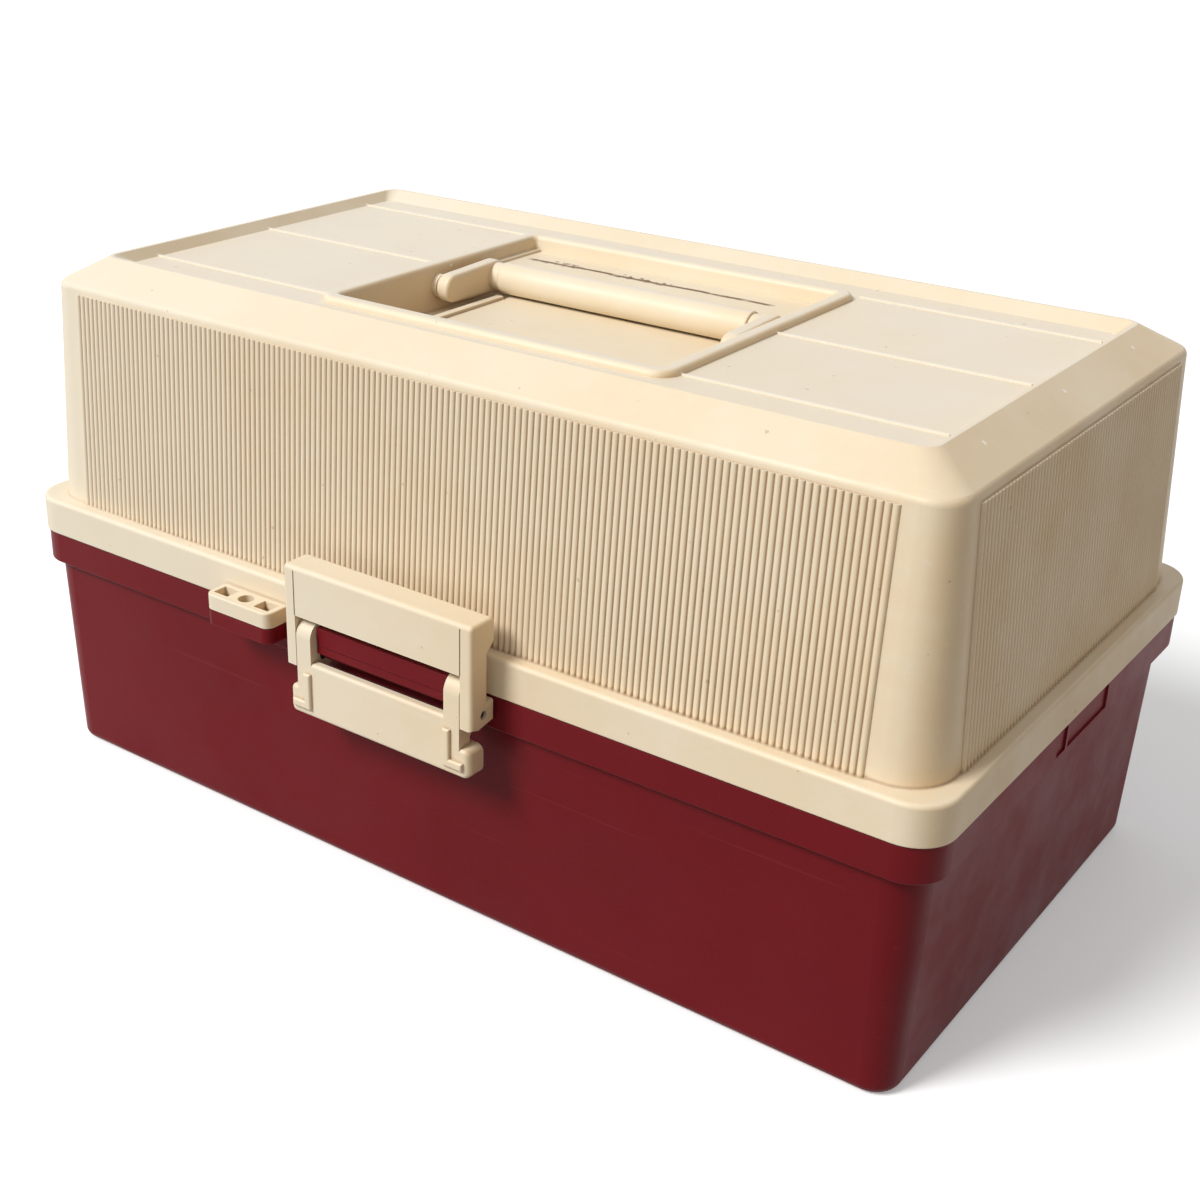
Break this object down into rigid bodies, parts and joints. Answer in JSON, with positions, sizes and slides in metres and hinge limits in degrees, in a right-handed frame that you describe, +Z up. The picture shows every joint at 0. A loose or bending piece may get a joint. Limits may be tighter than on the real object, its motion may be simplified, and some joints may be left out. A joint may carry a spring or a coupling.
{
  "type": "tackle box",
  "caption": "Plastic tackle box with a ribbed hinged lid, folding top handle, draw latch and cantilever trays that swing out with the lid.",
  "frame": {"origin": "middle of the flat underside of the tub", "axes": "+X along the front towards its right end, -Y out of the front with the latch, +Z up"},
  "size_m": [0.445, 0.2755, 0.232],
  "materials": {
    "lid_cream": "aged cream polypropylene, satin",
    "tub_maroon": "maroon polypropylene, satin",
    "tray_cream": "cream polypropylene, semi-matt",
    "steel": "zinc plated steel"
  },
  "bodies": {
    "tub": {"tub": "tub_maroon", "hinge_pins": "steel", "latch_lever_pin": "steel", "arm_pivot_rivets": "steel"},
    "lid": {"lid_shell": "lid_cream", "handle_pins": "steel", "link_lid_rivets": "steel"},
    "handle": {"handle_bail": "lid_cream", "handle_grip": "lid_cream"},
    "latch_lever": {"latch_lever": "lid_cream", "latch_bail_pins": "steel"},
    "latch_bail": {"latch_bail": "lid_cream"},
    "front_arms": {"front_arm_left": "steel", "front_arm_right": "steel"},
    "rear_arms": {"rear_arm_left": "steel", "rear_arm_right": "steel", "link_arm_rivets": "steel"},
    "lid_links": {"lid_link_left": "steel", "lid_link_right": "steel"},
    "tray_lower": {"tray_lower": "tray_cream", "tray_lower_dividers": "tray_cream", "tray_lower_rivets": "steel"},
    "tray_middle": {"tray_middle": "tray_cream", "tray_middle_dividers": "tray_cream", "tray_middle_rivets": "steel"},
    "tray_upper": {"tray_upper": "tray_cream", "tray_upper_dividers": "tray_cream", "tray_upper_rivets": "steel"}
  },
  "joints": [
    {"name": "lid_hinge", "type": "hinge", "parent": "tub", "child": "lid", "pos_m": [0, 0.13, 0.1083], "axis": [-1, 0, 0], "range_deg": [0, 96]},
    {"name": "front_arms_swing", "type": "hinge", "parent": "tub", "child": "front_arms", "pos_m": [0, -0.00999, 0.0975], "axis": [-1, 0, 0], "range_deg": [0, 96]},
    {"name": "rear_arms_swing", "type": "hinge", "parent": "tub", "child": "rear_arms", "pos_m": [0, 0.075, 0.0975], "axis": [-1, 0, 0], "range_deg": [0, 96]},
    {"name": "lid_links_level", "type": "hinge", "parent": "lid", "child": "lid_links", "pos_m": [0, 0.03657, 0.1867], "axis": [-1, 0, 0], "range_deg": [-96, 0]},
    {"name": "tray_lower_level", "type": "hinge", "parent": "front_arms", "child": "tray_lower", "pos_m": [0, -0.03297, 0.11678], "axis": [-1, 0, 0], "range_deg": [-96, 0]},
    {"name": "tray_middle_level", "type": "hinge", "parent": "front_arms", "child": "tray_middle", "pos_m": [0, -0.06283, 0.14184], "axis": [-1, 0, 0], "range_deg": [-96, 0]},
    {"name": "tray_upper_level", "type": "hinge", "parent": "front_arms", "child": "tray_upper", "pos_m": [0, -0.0927, 0.1669], "axis": [-1, 0, 0], "range_deg": [-96, 0]},
    {"name": "latch_lever_swing", "type": "hinge", "parent": "tub", "child": "latch_lever", "pos_m": [0, -0.1322, 0.112], "axis": [-1, 0, 0], "range_deg": [0, 100]},
    {"name": "latch_bail_swing", "type": "hinge", "parent": "latch_lever", "child": "latch_bail", "pos_m": [0, -0.1316, 0.1035], "axis": [-1, 0, 0], "range_deg": [-110, 0]},
    {"name": "handle_fold", "type": "hinge", "parent": "lid", "child": "handle", "pos_m": [0, -0.009, 0.2216], "axis": [1, 0, 0], "range_deg": [0, 95]}
  ],
  "couplings": [
    {"joint": "front_arms_swing", "follows": "lid_hinge", "ratio": 1},
    {"joint": "rear_arms_swing", "follows": "lid_hinge", "ratio": 1},
    {"joint": "lid_links_level", "follows": "lid_hinge", "ratio": -1},
    {"joint": "tray_lower_level", "follows": "lid_hinge", "ratio": -1},
    {"joint": "tray_middle_level", "follows": "lid_hinge", "ratio": -1},
    {"joint": "tray_upper_level", "follows": "lid_hinge", "ratio": -1},
    {"joint": "latch_bail_swing", "follows": "latch_lever_swing", "ratio": -1.1}
  ]
}
